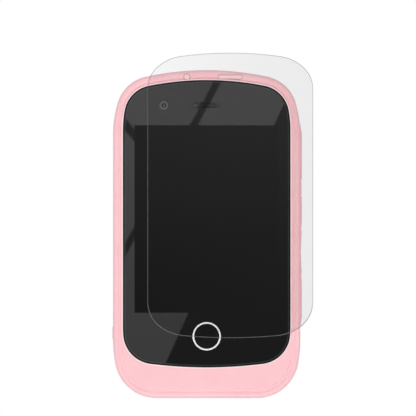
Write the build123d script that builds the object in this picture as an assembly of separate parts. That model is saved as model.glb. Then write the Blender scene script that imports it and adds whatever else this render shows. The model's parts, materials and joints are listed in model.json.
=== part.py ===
from build123d import *

import os
from dataclasses import dataclass
from math import cos, pi, radians, sin

# A compact children's touch phone with a clear screen protector laid on it.
# The phone lies on its back: +X is its right side seen from the front, +Y is the
# earpiece end and +Z points out of the screen. The origin is the middle of the flat
# back. Every length is in millimetres and every angle in degrees.


# ---------------------------------------------------------------- outlines


@dataclass
class End:
    """One end of an outline: a straight stretch, then a crown, a shoulder and a flank arc.

    Each arc is tangent to the next, and the shoulder's radius follows from the rest.
    """

    reach: float
    flat: float
    crown_radius: float
    crown_turn: float
    flank_radius: float
    flank_turn: float


@dataclass
class Outline:
    """A closed outline, the same left and right, with straight sides."""

    half_width: float
    top: End
    bottom: End


CASE = Outline(
    half_width=28.32,
    top=End(reach=49.62, flat=0, crown_radius=86.2, crown_turn=12.4, flank_radius=32.7, flank_turn=17.4),
    bottom=End(reach=49.55, flat=15.2, crown_radius=0, crown_turn=0, flank_radius=38.6, flank_turn=10.9),
)
GLASS = Outline(
    half_width=25.22,
    top=End(reach=46.5, flat=0, crown_radius=89.1, crown_turn=11.3, flank_radius=31.7, flank_turn=10.35),
    bottom=End(reach=40.15, flat=0, crown_radius=134.0, crown_turn=7.3, flank_radius=39.2, flank_turn=3.9),
)
# The soft crease that parts the chin's flat face from the rounded edge. Up the sides it
# runs beside the glass's lip, and across the top it is under the lip.
CREASE = Outline(
    half_width=26.15,
    top=End(reach=46.9, flat=0, crown_radius=89.5, crown_turn=11.3, flank_radius=32.3, flank_turn=10.35),
    bottom=End(reach=47.4, flat=15.2, crown_radius=0, crown_turn=0, flank_radius=36.5, flank_turn=10.9),
)
# The screen protector is cut a little smaller than the glass, with rounder corners.
SHEET = Outline(
    half_width=25.04,
    top=End(reach=46.1, flat=0, crown_radius=112.0, crown_turn=7.7, flank_radius=8.7, flank_turn=45.0),
    bottom=End(reach=40.05, flat=0, crown_radius=154.0, crown_turn=5.2, flank_radius=9.6, flank_turn=57.7),
)

# ---------------------------------------------------------------- driving dimensions

# How far a cutting shape reaches past what it cuts, the least gap between two pieces, and
# levels that pass through everything.
PAST = 1.0
HAIR_GAP = 0.02
ALL_LEVELS = (-1.0, 20.0)

# Levels, from the back to the front.
FRONT_Z = 15.0
SEAM_Z = 8.4
FLOOR_Z = 2.2
DECK_Z = 12.55
LEDGE_Z = 13.75
GLASS_Z = 13.9
BOARD_Z = (8.3, 9.3)

# Housing.
WALL = 1.6
FRONT_ROUND = 1.3
REAR_ROUND = 5.0
TONGUE_INSET = 0.95
TONGUE_HEIGHT = 0.8
TONGUE_ROOT = 0.5
SEAM_GAP = 0.05
SEAM_BEVEL = 0.18
LIP_WIDTH = 0.36
LIP_HEIGHT = 0.25
LIP_ROUND = 0.144
GLASS_GAP = 0.08
GLASS_EASE = 0.38
CREASE_RADIUS = 0.8
CREASE_DEPTH = 0.3

# Screws that hold the two halves of the housing together.
SCREWS = [(-21.5, 37.8), (21.5, 37.8), (-19.5, -40.0), (19.5, -40.0)]
SCREW_RADIUS = 0.8
SCREW_HEAD_RADIUS = 1.5
SCREW_SEAT_Z = 4.4
SCREW_HEAD_HEIGHT = 1.1
SCREW_HEAD_ROUND = 0.3
SCREW_TIP_Z = 11.75
HEAD_GAP = 0.2
SHANK_GAP = 0.1
FRONT_POST_RADIUS = 2.2
REAR_POST_RADIUS = 2.6
POST_ROOF = 0.4
DRIVER_ARM = 0.3
DRIVER_REACH = 0.95
DRIVER_DEPTH = 0.5
THREAD_GAP = 0.01

# Display stack behind the glass.
DISPLAY_X = (-23.7, 23.7)
DISPLAY_Y = (-26.2, 35.0)
TRAY_Z = (10.5, 13.55)
TRAY_WALL = 0.3
TRAY_GAP = 0.3
LAYER_GAP = 0.05
GASKET_INSET = 0.2
TOUCH_INSET = 0.2
TOUCH_Z = (13.6, 13.88)
PANEL_Z = (12.15, 13.55)
BACKLIGHT_Z = (10.85, 12.1)
FLEX_X = (11, 19)
FLEX_THICKNESS = 0.15
FLEX_FOLD_Y = 2.75
FLEX_TOP_Z = 12.35
FLEX_TAIL = 1.5

# Home button.
HOME = (0, -30.8)
HOME_RADIUS = 3.72
HOME_RING = (3.78, 4.29)
HOME_TRAVEL = 0.35
HOME_GAP = 0.15
HOME_EASE = 0.2
HOME_FLANGE_RADIUS = 4.2
HOME_DISH_RADIUS = 40.0
HOME_DISH_DEPTH = 0.12
RING_PROUD = 0.06
RING_ROUND = 0.15
OPENING_GAP = 0.03

# Front camera and earpiece.
CAMERA = (-12.95, 38.9)
CAMERA_RING = (0.7, 1.3)
CAMERA_RING_SUNK = 0.03
CAMERA_BORE = 2.6
CAMERA_BARREL = 2.5
CAMERA_HALF = 3.25
CAMERA_TOP_Z = 12.4
LENS_SUNK = 0.25
LENS_ROUND = 0.3
EARPIECE = (0, 38.9)
EARPIECE_SIZE = (8.1, 1.6)
EARPIECE_SUNK = 0.12
EARPIECE_DUCT = (6.6, 1.1)
RECEIVER_HALF = (5.0, 2.2)
RECEIVER_Z = (10.4, 12.5)
RECEIVER_CORNER = 1.0
SLIT_SIZE = (5.9, 0.2)
SLIT_X = 0.25
SLIT_STEP = 0.42
SENSOR_X = -3.45
SENSOR_RADIUS = 0.35
SENSOR_SUNK = 0.1

# Keys on the top edge and along the right side.
KEY_GAP = 0.1
TOP_KEY_GAP = 0.1
KEY_PROUD = 0.15
KEY_BEVEL = 0.1
HOLE_BEVEL = 0.15
FLANGE_Z = (11.7, 12.5)
KEY_FOOT_Y = (44.2, 46.95)
POWER = (7.1, 47.5)
POWER_SIZE = (7.2, 1.15)
POWER_CORNER = 0.45
POWER_FOOT_WIDTH = 8.4
ROUND_KEY = (-6.0, 47.5)
ROUND_KEY_RADIUS = 0.9
ROUND_KEY_FOOT_WIDTH = 3.6
TOP_SWITCH_Y = 45.2
TOP_TRAVEL = 0.4
SIDE_KEY_Z = 10.9
SIDE_KEY_HEIGHT = 2.4
SIDE_PROUD = 0.2
SIDE_TRAVEL = 0.35
SIDE_KEY_Y = 14.0
SIDE_KEY_LENGTH = 4.0
RAIL_Y = (-28.4, 33.4)
RAIL_PROUD = 0.5
RAIL_HALF_HEIGHT = 2.2
RAIL_ROUND = 0.42
RAIL_END = 3.0
NOTCH_Y = (11.4, 16.6)
NOTCH_DEPTH = 0.3
NOTCH_ROUND = 0.24
SCOOP_Y = -5.6
SCOOP_HALF_LENGTH = 9.2
SCOOP_DEPTH = 0.45
VOLUME_LENGTH = 6.3
VOLUME_SPLIT = 0.5
VOLUME_STEP = (VOLUME_LENGTH + VOLUME_SPLIT) / 2
SIDE_FLANGE_X = (25.8, 26.6)
SIDE_FLANGE_MARGIN = (0.3, 0.5)
SIDE_HOLE_X = (25.0, 30.0)
SIDE_RELIEF_X = (26.0, 28.0)
SIDE_RELIEF_HEIGHT = 2.0
SIDE_FOOT_X = (24.3, 25.1)
SIDE_FOOT_HALF = (1.5, 1.1)
PLUNGER_HALF = 0.5
PLUNGER_RADIUS = 0.6
DOME_GAP = 0.05
SIDE_FLEX_X = (24.1, 24.3)
SIDE_FLEX_Y = (-13.5, 16.5)
SIDE_FLEX_TOP_Z = 12.3
SWITCH_FOOT = (3.0, 2.4, 1.3)

# Lanyard bar, let into the lower left side.
BAR_RADIUS = 0.95
BAR_PROUD = 0.45
BAR_Z = 5.8
BAR_LENGTH = 4.0
BAR_PIN_RADIUS = 0.6
BAR_PIN_LENGTH = 6.6
BAR_EASE = 0.2
POCKET_Y = (-32.7, -27.7)
POCKET_Z = (3.0, 7.7)
POCKET_FLOOR_X = -25.0
POCKET_WALL = 1.1
POCKET_DROP = 0.2

# Battery bay and its door.
BATTERY_X = (-19.0, 19.0)
BATTERY_Y = (-29.0, 17.0)
BATTERY_Z = (1.5, 6.3)
BATTERY_ROUND = 1.2
BAY_GAP = 0.3
BAY_WALL = 1.0
BAY_TOP = 6.2
DOOR_X = (-21.0, 21.0)
DOOR_Y = (-34.0, 19.0)
DOOR_THICKNESS = 1.4
DOOR_CORNER = 3.0
DOOR_GAP = 0.1
DOOR_SCREW = (0, -31.6)
DOOR_BEVEL = 0.15
DOOR_POST_RADIUS = 2.1
DOOR_POST_ROOF = 0.6
DOOR_HEAD_Z = 0.4
DOOR_HEAD_HEIGHT = 0.7
DOOR_SINK_HEIGHT = 0.8
TAB_X = 7.0
TAB_WIDTH = 6.0
TAB_LENGTH = 1.2
TAB_Z = (0.5, 1.3)
TAB_GAP = 0.05
TAB_ROOT = 0.5

# Rear camera, flash and loudspeaker.
REAR_CAMERA = (0, 35.6)
REAR_CAMERA_RING = (4.0, 6.0)
REAR_CAMERA_RING_Z = (0.0, 2.5)
REAR_CAMERA_BEVEL = 0.25
REAR_WINDOW_Z = (0.6, 1.4)
REAR_BARREL_RADIUS = 3.2
REAR_MODULE_Z = (1.5, 2.6, 7.2)
REAR_MODULE_HALF = 4.2
FLASH = (11.0, 35.6)
FLASH_HOLE_RADIUS = 1.6
FLASH_LENS_RADIUS = 1.55
FLASH_PIPE_RADIUS = 1.1
FLASH_Z = (0.1, 2.2, 7.4)
DIODE_REAR_Z = 7.5
SPEAKER_X = (-10.0, 10.0)
SPEAKER_Y = (-45.0, -35.6)
SPEAKER_Z = (2.5, 6.1)
GRILLE_RADIUS = 0.6
GRILLE_PITCH = 2.1
GRILLE_ROWS = (6, 7, 6)
GRILLE_ROW_STEP = 1.89
GRILLE_SHIFT = 0.6
SPEAKER_CORNER = 2.0
MESH_INSET = (1.5, 0.6)
MESH_Z = (2.22, 2.42)
MESH_CORNER = 1.5

# Charging port and microphone in the bottom edge.
PORT_SIZE = (7.6, 2.7)
PORT_Y = (-49.2, -43.8)
PORT_CORNER = 0.8
PORT_SHELL = 0.3
PORT_GAP = 0.3
PORT_MOUTH_Y = -50.0
PORT_MOUTH_DEPTH = 4.0
PORT_BACK = 0.8
TONGUE_HALF_WIDTH = 2.0
TONGUE_RANGE = (-0.1, 0.5)
TONGUE_SUNK = 0.6
MICROPHONE_X = 10.0
MICROPHONE_RADIUS = 0.5
MICROPHONE_RISE = 1.0
MICROPHONE_HOLE_Y = -48.5
MICROPHONE_HOLE_LENGTH = 4.0
MICROPHONE_HALF_WIDTH = 1.9
MICROPHONE_Y = (-46.6, -43.6)
MICROPHONE_HEIGHT = 1.1

# Circuit board and the parts on it that touch nothing else.
BOARD_INSET = 2.4
BOARD_HOLE_RADIUS = 1.0
SHIELD_X = (-13.0, 13.0)
SHIELD_Y = (19.8, 30.2)
SHIELD_REAR_Z = 6.6
SHIELD_WALL = 0.3
SHIELD_ROUND = 0.4
PROCESSOR_X = (-10.5, -1.5)
PROCESSOR_Y = (20.6, 29.4)
PROCESSOR_REAR_Z = 7.4
MEMORY_X = (1.0, 11.0)
MEMORY_Y = (21.0, 29.0)
MEMORY_REAR_Z = 7.5
CONNECTOR_X = (14.0, 18.5)
CONNECTOR_Y = (20.5, 23.5)
CONNECTOR_REAR_Z = 6.9
LEADS_X = (15.4, 17.0)
LEAD_RADIUS = 0.4
LEAD_OVERLAP = 4.0
LEAD_STEP_Y = 18.4
LEAD_LOW_Z = (6.6, 7.4)
LEAD_HIGH_Z = (7.0, 7.8)
ANTENNA_X = (-16.0, -6.0)
ANTENNA_Y = (-45.0, -38.0)
ANTENNA_THICKNESS = 0.2

# Screen protector: resting on the lip, pushed up and to the right.
PROTECTOR_THICKNESS = 0.3
PROTECTOR_BEVEL = 0.27
PROTECTOR_GAP = 0.05
PROTECTOR_SHIFT = (7.1, 8.7)

# ---------------------------------------------------------------- helpers


def end_edges(end, half_width, inset, right, up):
    """Edges of one quarter of an outline, moved inwards, and where it meets the side."""
    crown_stop = radians(end.crown_turn)
    flank_start = radians(90 - end.flank_turn)
    crown_radius = end.crown_radius - inset if end.crown_turn else 0
    flank_radius = end.flank_radius - inset
    left_over = half_width - inset - end.flat
    left_over -= crown_radius * sin(crown_stop)
    left_over -= flank_radius * (1 - sin(flank_start))
    shoulder_radius = left_over / (sin(flank_start) - sin(crown_stop))

    def place(x, y):
        return (right * x, up * y)

    x, y = end.flat, end.reach - inset
    edges = [Line(place(0, y), place(x, y))] if end.flat else []
    arcs = [
        (crown_radius, 0, crown_stop),
        (shoulder_radius, crown_stop, flank_start),
        (flank_radius, flank_start, pi / 2),
    ]
    for radius, start, stop in arcs:
        if stop == start:
            continue
        turns = [start, (start + stop) / 2, stop]
        points = [(x + radius * (sin(t) - sin(start)), y + radius * (cos(t) - cos(start))) for t in turns]
        edges.append(ThreePointArc(*[place(*point) for point in points]))
        x, y = points[-1]
    return edges, place(x, y)


def outline_face(outline, inset=0.0):
    """The outline as a face, every edge moved inwards by the inset."""
    edges = []
    for right in (1, -1):
        top_edges, top_side = end_edges(outline.top, outline.half_width, inset, right, 1)
        bottom_edges, bottom_side = end_edges(outline.bottom, outline.half_width, inset, right, -1)
        edges += top_edges + bottom_edges + [Line(top_side, bottom_side)]
    return make_face(edges)


def prism(sketch, z):
    """A sketch on the ground plane drawn up between two levels."""
    return Pos(0, 0, z[0]) * extrude(sketch, z[1] - z[0])


def block(x, y, z):
    """A box between a pair of limits along each axis."""
    size = [high - low for low, high in (x, y, z)]
    middle = [(high + low) / 2 for low, high in (x, y, z)]
    return Pos(*middle) * Box(*size)


def disc(centre, radius, z):
    """An upright cylinder between two levels."""
    return Pos(centre[0], centre[1], (z[0] + z[1]) / 2) * Cylinder(radius, z[1] - z[0])


def eased_hole(centre, radius, top):
    """A hole through the back, up to a level, with its mouth eased."""
    mouth = Pos(centre[0], centre[1], HOLE_BEVEL / 2) * Cone(radius + HOLE_BEVEL, radius, HOLE_BEVEL)
    return mouth + disc(centre, radius, (-1, top))


def ring(centre, radii, z):
    """An upright tube between two levels."""
    return disc(centre, radii[1], z) - disc(centre, radii[0], z)


def grown(limits, margin):
    """A pair of limits, each moved outwards by the margin."""
    return (limits[0] - margin, limits[1] + margin)


def grown_size(size, margin):
    """A length and a width, each grown by the margin at both ends."""
    return (size[0] + 2 * margin, size[1] + 2 * margin)


def rounded_plate(x, y, z, corner):
    """A flat plate with rounded corners."""
    sketch = RectangleRounded(x[1] - x[0], y[1] - y[0], corner)
    return prism(Pos((x[0] + x[1]) / 2, (y[0] + y[1]) / 2) * sketch, z)


def pill(centre, size, z):
    """An upright bar with round ends."""
    return prism(Pos(*centre) * SlotOverall(*size), z)


def side_pill(y, length, height, x):
    """A bar with round ends that points along X, at the level of the side keys."""
    sketch = Plane.YZ.offset(x[0]) * Pos(y, SIDE_KEY_Z) * SlotOverall(length, height)
    return extrude(sketch, x[1] - x[0])


def top_edges(part):
    """The highest edges of a part."""
    return part.edges().group_by(Axis.Z)[-1]


def bottom_edges(part):
    """The lowest edges of a part."""
    return part.edges().group_by(Axis.Z)[0]


# ---------------------------------------------------------------- housing


def key_rail():
    """Low rounded rail along the right side that the side keys stand in, with two finger dips."""
    side = CASE.half_width
    crest = side + RAIL_PROUD
    corners = [
        (side - PAST, RAIL_Y[0]),
        (side, RAIL_Y[0]),
        (crest, RAIL_Y[0] + RAIL_END),
        (crest, RAIL_Y[1] - RAIL_END),
        (side, RAIL_Y[1]),
        (side - PAST, RAIL_Y[1]),
    ]
    z = (SIDE_KEY_Z - RAIL_HALF_HEIGHT, SIDE_KEY_Z + RAIL_HALF_HEIGHT)
    plan = prism(make_face(Polyline(*corners, close=True)), z)
    outer = [edge for edge in top_edges(plan) + bottom_edges(plan) if edge.center().X > side]
    rail = fillet(outer, RAIL_ROUND)
    notch = block((crest - NOTCH_DEPTH, crest + PAST), NOTCH_Y, z)
    rail -= fillet(notch.edges().filter_by(Axis.Z).group_by(Axis.X)[0], NOTCH_ROUND)
    scoop_radius = (SCOOP_HALF_LENGTH**2 + SCOOP_DEPTH**2) / (2 * SCOOP_DEPTH)
    return rail - disc((crest - SCOOP_DEPTH + scoop_radius, SCOOP_Y), scoop_radius, z)


def body_block():
    """The phone's whole outer shape as one block."""
    body = prism(outline_face(CASE), (0, FRONT_Z))
    body = fillet(top_edges(body), FRONT_ROUND)
    body = fillet(bottom_edges(body), REAR_ROUND)
    return body + key_rail()


BODY = body_block()


def cavity():
    """The hollow inside both halves of the housing."""
    hollow = prism(outline_face(CASE, WALL), (FLOOR_Z, DECK_Z))
    return fillet(bottom_edges(hollow), REAR_ROUND - WALL)


def power_shape(margin, z):
    """The power button's section, with a margin all round."""
    x = grown((POWER[0] - POWER_SIZE[0] / 2, POWER[0] + POWER_SIZE[0] / 2), margin)
    y = grown((POWER[1] - POWER_SIZE[1] / 2, POWER[1] + POWER_SIZE[1] / 2), margin)
    return rounded_plate(x, y, z, POWER_CORNER + margin)


def side_keys():
    """Name, centre and length of each key in the right side."""
    return [
        ("side_key", SIDE_KEY_Y, SIDE_KEY_LENGTH),
        ("volume_up", SCOOP_Y + VOLUME_STEP, VOLUME_LENGTH),
        ("volume_down", SCOOP_Y - VOLUME_STEP, VOLUME_LENGTH),
    ]


def front_frame():
    """Front half: the band round the glass, the chin, and the ledge the glass is glued to."""
    above = FRONT_Z + PAST
    frame = BODY & prism(outline_face(CASE, -PAST), (SEAM_Z, above))
    frame = chamfer(bottom_edges(frame), SEAM_BEVEL) - cavity()
    relief = prism(outline_face(CASE, TONGUE_INSET - SEAM_GAP), (SEAM_Z, SEAM_Z + TONGUE_HEIGHT + SEAM_GAP))
    frame -= relief
    path = outline_face(CREASE).wire().moved(Pos(0, 0, FRONT_Z + CREASE_RADIUS - CREASE_DEPTH))
    start = path @ 0
    section = Plane(start, z_dir=path % 0) * Circle(CREASE_RADIUS)
    frame -= sweep(section, path)
    lip = prism(outline_face(GLASS, -GLASS_GAP - LIP_WIDTH), (LEDGE_Z, FRONT_Z + LIP_HEIGHT))
    lip = fillet(top_edges(lip), LIP_ROUND)
    frame += lip
    frame -= prism(outline_face(GLASS, -GLASS_GAP), (LEDGE_Z, above))
    through = (DECK_Z - PAST, above)
    frame -= block(grown(DISPLAY_X, TRAY_GAP), grown(DISPLAY_Y, TRAY_GAP), through)
    frame -= disc(HOME, HOME_RADIUS + HOME_GAP, through)
    frame -= disc(CAMERA, CAMERA_BORE, through)
    frame -= pill(EARPIECE, EARPIECE_DUCT, through)
    sunk = DECK_Z - TOP_TRAVEL - SEAM_GAP
    frame -= power_shape(TOP_KEY_GAP, (sunk, above))
    frame -= disc(ROUND_KEY, ROUND_KEY_RADIUS + TOP_KEY_GAP, (sunk, above))
    for _, y, length in side_keys():
        frame -= side_pill(y, length + 2 * KEY_GAP, SIDE_KEY_HEIGHT + 2 * KEY_GAP, SIDE_HOLE_X)
    for centre in SCREWS:
        frame += disc(centre, FRONT_POST_RADIUS, (BOARD_Z[1], DECK_Z))
        frame -= disc(centre, SCREW_RADIUS + THREAD_GAP, (BOARD_Z[1], DECK_Z - POST_ROOF))
    port_middle = BOARD_Z[1] + PORT_SIZE[1] / 2
    mouth = Plane.XZ.offset(-PORT_MOUTH_Y) * Pos(0, port_middle) * RectangleRounded(
        PORT_SIZE[0] + PORT_GAP, PORT_SIZE[1] + PORT_GAP, PORT_CORNER
    )
    frame -= extrude(mouth, -PORT_MOUTH_DEPTH)
    hole_place = Pos(MICROPHONE_X, MICROPHONE_HOLE_Y, BOARD_Z[1] + MICROPHONE_RISE) * Rot(90, 0, 0)
    frame -= hole_place * Cylinder(MICROPHONE_RADIUS, MICROPHONE_HOLE_LENGTH)
    bottom_face = frame.faces().sort_by(Axis.Y)[0]
    return chamfer([edge for wire in bottom_face.inner_wires() for edge in wire.edges()], HOLE_BEVEL)


def grille_holes():
    """Rows of sound holes behind the loudspeaker, each row shifted by half a pitch."""
    middle_y = (SPEAKER_Y[0] + SPEAKER_Y[1]) / 2 + GRILLE_SHIFT
    holes = []
    for row, count in enumerate(GRILLE_ROWS):
        y = middle_y + (row - (len(GRILLE_ROWS) - 1) / 2) * GRILLE_ROW_STEP
        for step in range(count):
            x = (step - (count - 1) / 2) * GRILLE_PITCH
            holes.append(eased_hole((x, y), GRILLE_RADIUS, FLOOR_Z + PAST))
    return holes


def rear_housing():
    """Rear half: a tub with the battery bay, screw posts, grille and lanyard pocket."""
    tub = BODY & prism(outline_face(CASE, -PAST), (-PAST, SEAM_Z))
    tub = chamfer(top_edges(tub), SEAM_BEVEL) - cavity()
    tongue_z = (SEAM_Z - TONGUE_ROOT, SEAM_Z + TONGUE_HEIGHT)
    tub += prism(outline_face(CASE, TONGUE_INSET), tongue_z) - prism(outline_face(CASE, WALL), tongue_z)
    for _, y, length in side_keys():
        relief_y = grown((y - length / 2, y + length / 2), PAST)
        tub -= block(SIDE_RELIEF_X, relief_y, (SEAM_Z + SEAM_GAP, SEAM_Z + SIDE_RELIEF_HEIGHT))
    inside = BODY & prism(outline_face(CASE, WALL / 2), (FLOOR_Z - PAST, SEAM_Z - POCKET_DROP))
    pocket_x = (-CASE.half_width - PAST, POCKET_FLOOR_X)
    shell_x = (pocket_x[0], POCKET_FLOOR_X + POCKET_WALL)
    tub += inside & block(shell_x, grown(POCKET_Y, POCKET_WALL), (FLOOR_Z - PAST, SEAM_Z))
    tub -= block(pocket_x, POCKET_Y, POCKET_Z)
    tub -= lanyard_bar()
    bay_x = grown(BATTERY_X, BAY_GAP)
    bay_y = grown(BATTERY_Y, BAY_GAP)
    tub += block(grown(bay_x, BAY_WALL), grown(bay_y, BAY_WALL), (FLOOR_Z, BAY_TOP))
    tub += disc(DOOR_SCREW, DOOR_POST_RADIUS, (DOOR_THICKNESS, BAY_TOP))
    tub -= block(bay_x, bay_y, (-PAST, BAY_TOP + PAST))
    door_z = (-PAST, DOOR_THICKNESS)
    tub -= rounded_plate(grown(DOOR_X, DOOR_GAP), grown(DOOR_Y, DOOR_GAP), door_z, DOOR_CORNER)
    for side in (-1, 1):
        slot_x = grown((side * TAB_X, side * TAB_X), TAB_WIDTH / 2 + TAB_GAP)
        tub -= block(slot_x, (DOOR_Y[1] - PAST, DOOR_Y[1] + TAB_LENGTH + DOOR_GAP), grown(TAB_Z, TAB_GAP))
    tub -= disc(DOOR_SCREW, SCREW_RADIUS + THREAD_GAP, (0, BAY_TOP - DOOR_POST_ROOF))
    for centre in SCREWS:
        tub += disc(centre, REAR_POST_RADIUS, (FLOOR_Z - TONGUE_ROOT, BOARD_Z[0]))
        tub -= eased_hole(centre, SCREW_HEAD_RADIUS + HEAD_GAP, SCREW_SEAT_Z)
        tub -= disc(centre, SCREW_RADIUS + SHANK_GAP, (0, BOARD_Z[0] + PAST))
    tub -= disc(REAR_CAMERA, REAR_CAMERA_RING[1] + SEAM_GAP, (-PAST, FLOOR_Z + PAST))
    tub -= eased_hole(FLASH, FLASH_HOLE_RADIUS, FLOOR_Z + PAST)
    for hole in grille_holes():
        tub -= hole
    return tub


def battery_door():
    """Door over the battery, with two tabs at its top end and one sunk screw."""
    door = rounded_plate(DOOR_X, DOOR_Y, (0, DOOR_THICKNESS - HAIR_GAP), DOOR_CORNER)
    door = chamfer(bottom_edges(door), DOOR_BEVEL)
    for side in (-1, 1):
        tab_x = grown((side * TAB_X, side * TAB_X), TAB_WIDTH / 2)
        door += block(tab_x, (DOOR_Y[1] - TAB_ROOT, DOOR_Y[1] + TAB_LENGTH), TAB_Z)
    door -= disc(DOOR_SCREW, SCREW_RADIUS + SHANK_GAP, ALL_LEVELS)
    wide, narrow = SCREW_HEAD_RADIUS + SHANK_GAP, SCREW_RADIUS + SHANK_GAP
    sink = Pos(*DOOR_SCREW, DOOR_HEAD_Z) * Cone(wide, narrow, DOOR_SINK_HEIGHT)
    return door - sink


def driver_cross(centre, z):
    """Cross-shaped driver slot for a screw's head."""
    x, y = [grown((place, place), DRIVER_REACH) for place in centre]
    narrow_x, narrow_y = [grown((place, place), DRIVER_ARM / 2) for place in centre]
    return block(x, narrow_y, z) + block(narrow_x, y, z)


def battery_door_screw():
    """Countersunk screw that holds the battery door."""
    head = Pos(*DOOR_SCREW, DOOR_HEAD_Z) * Cone(SCREW_HEAD_RADIUS, SCREW_RADIUS, DOOR_HEAD_HEIGHT)
    screw = head + disc(DOOR_SCREW, SCREW_RADIUS, (DOOR_HEAD_HEIGHT, BAY_TOP - PAST))
    return screw - driver_cross(DOOR_SCREW, (-PAST, DRIVER_DEPTH))


def housing_screws():
    """Four pan-head screws, from the rear housing's posts into the front frame's posts."""
    screws = []
    for centre in SCREWS:
        head = disc(centre, SCREW_HEAD_RADIUS, (SCREW_SEAT_Z - SCREW_HEAD_HEIGHT, SCREW_SEAT_Z))
        head = fillet(bottom_edges(head), SCREW_HEAD_ROUND)
        screw = head + disc(centre, SCREW_RADIUS, (SCREW_SEAT_Z - DRIVER_DEPTH, SCREW_TIP_Z))
        outside = SCREW_SEAT_Z - SCREW_HEAD_HEIGHT
        screws.append(screw - driver_cross(centre, (outside - PAST, outside + DRIVER_DEPTH)))
    return Compound(children=screws)


def lanyard_bar():
    """Round bar across the lanyard pocket, its thinner ends pressed into the rear housing."""
    x = -CASE.half_width - BAR_PROUD + BAR_RADIUS
    y = (POCKET_Y[0] + POCKET_Y[1]) / 2
    place = Pos(x, y, BAR_Z) * Rot(90, 0, 0)
    roller = Cylinder(BAR_RADIUS, BAR_LENGTH)
    roller = fillet(roller.edges().filter_by(GeomType.CIRCLE), BAR_EASE)
    return place * (roller + Cylinder(BAR_PIN_RADIUS, BAR_PIN_LENGTH))


# ---------------------------------------------------------------- glass and display


def cover_glass():
    """Black-edged cover glass, eased along its front edge, with three openings."""
    glass = prism(outline_face(GLASS), (GLASS_Z, FRONT_Z))
    glass = fillet(top_edges(glass), GLASS_EASE)
    glass -= disc(HOME, HOME_RING[1] + OPENING_GAP, ALL_LEVELS)
    glass -= disc(CAMERA, CAMERA_RING[1] + OPENING_GAP, ALL_LEVELS)
    return glass - pill(EARPIECE, grown_size(EARPIECE_SIZE, OPENING_GAP), ALL_LEVELS)


def glass_gasket():
    """Adhesive foam between the glass and the frame's ledge."""
    z = (LEDGE_Z, GLASS_Z)
    gasket = prism(outline_face(GLASS, GASKET_INSET), z)
    gasket -= block(grown(DISPLAY_X, TRAY_GAP), grown(DISPLAY_Y, TRAY_GAP), ALL_LEVELS)
    gasket -= disc(HOME, HOME_RING[1] + LAYER_GAP, ALL_LEVELS)
    gasket -= disc(CAMERA, CAMERA_BORE + SHANK_GAP, ALL_LEVELS)
    return gasket - pill(EARPIECE, grown_size(EARPIECE_SIZE, SHANK_GAP), ALL_LEVELS)


def display_tray():
    """Pressed metal tray that holds the backlight and the display panel."""
    tray = block(DISPLAY_X, DISPLAY_Y, TRAY_Z)
    inner_z = (TRAY_Z[0] + TRAY_WALL, TRAY_Z[1] + PAST)
    return tray - block(grown(DISPLAY_X, -TRAY_WALL), grown(DISPLAY_Y, -TRAY_WALL), inner_z)


def tray_layer(z):
    """A flat layer that fills the tray between two levels."""
    inset = TRAY_WALL + LAYER_GAP
    return block(grown(DISPLAY_X, -inset), grown(DISPLAY_Y, -inset), z)


def display_flex():
    """Ribbon from the display's lower edge, folded down to the main board."""
    y = DISPLAY_Y[0]
    outer = y - FLEX_FOLD_Y
    low_z = (BOARD_Z[1], BOARD_Z[1] + FLEX_THICKNESS)
    ribbon = block(FLEX_X, (outer, y), (FLEX_TOP_Z - FLEX_THICKNESS, FLEX_TOP_Z))
    ribbon += block(FLEX_X, (outer, outer + FLEX_THICKNESS), (BOARD_Z[1], FLEX_TOP_Z))
    return ribbon + block(FLEX_X, (outer, y + FLEX_TAIL), low_z)


# ---------------------------------------------------------------- home button


def home_button_ring():
    """White trim ring round the home button."""
    trim = ring(HOME, HOME_RING, (LEDGE_Z, FRONT_Z + RING_PROUD))
    return fillet(top_edges(trim), RING_ROUND)


def home_button():
    """Black home button with a shallow dish, a stem and a flange under the deck."""
    cap = disc(HOME, HOME_RADIUS, (FLANGE_Z[1], FRONT_Z))
    cap = fillet(top_edges(cap), HOME_EASE)
    cap -= Pos(*HOME, FRONT_Z - HOME_DISH_DEPTH + HOME_DISH_RADIUS) * Sphere(HOME_DISH_RADIUS)
    return cap + disc(HOME, HOME_FLANGE_RADIUS, FLANGE_Z)


def board_switch(centre, top):
    """Push switch on the main board's front face: a foot and a round plunger."""
    length, width, height = SWITCH_FOOT
    x, y = centre
    foot_z = (BOARD_Z[1], BOARD_Z[1] + height)
    foot = block((x - length / 2, x + length / 2), (y - width / 2, y + width / 2), foot_z)
    return foot + disc(centre, PLUNGER_RADIUS, (foot_z[1], top))


def home_switch():
    """Switch under the home button."""
    return board_switch(HOME, FLANGE_Z[0] - HOME_TRAVEL - DOME_GAP)


# ---------------------------------------------------------------- camera and earpiece


def front_camera_module():
    """Camera block on the main board, its barrel standing in the deck."""
    x, y = [grown((place, place), CAMERA_HALF) for place in CAMERA]
    foot = block(x, y, (BOARD_Z[1], CAMERA_TOP_Z))
    return foot + disc(CAMERA, CAMERA_BARREL, (CAMERA_TOP_Z, LEDGE_Z - HAIR_GAP))


def front_camera_ring():
    """Grey ring round the front camera's lens, level with the glass."""
    trim = ring(CAMERA, CAMERA_RING, (LEDGE_Z, FRONT_Z - CAMERA_RING_SUNK))
    return fillet(top_edges(trim), KEY_BEVEL)


def front_camera_lens():
    """Small domed lens."""
    lens = disc(CAMERA, CAMERA_RING[0] - HAIR_GAP, (LEDGE_Z, FRONT_Z - LENS_SUNK))
    return fillet(top_edges(lens), LENS_ROUND)


def light_sensor_centre():
    """Middle of the light sensor, at the left end of the earpiece slot."""
    return (EARPIECE[0] + SENSOR_X, EARPIECE[1])


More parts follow.
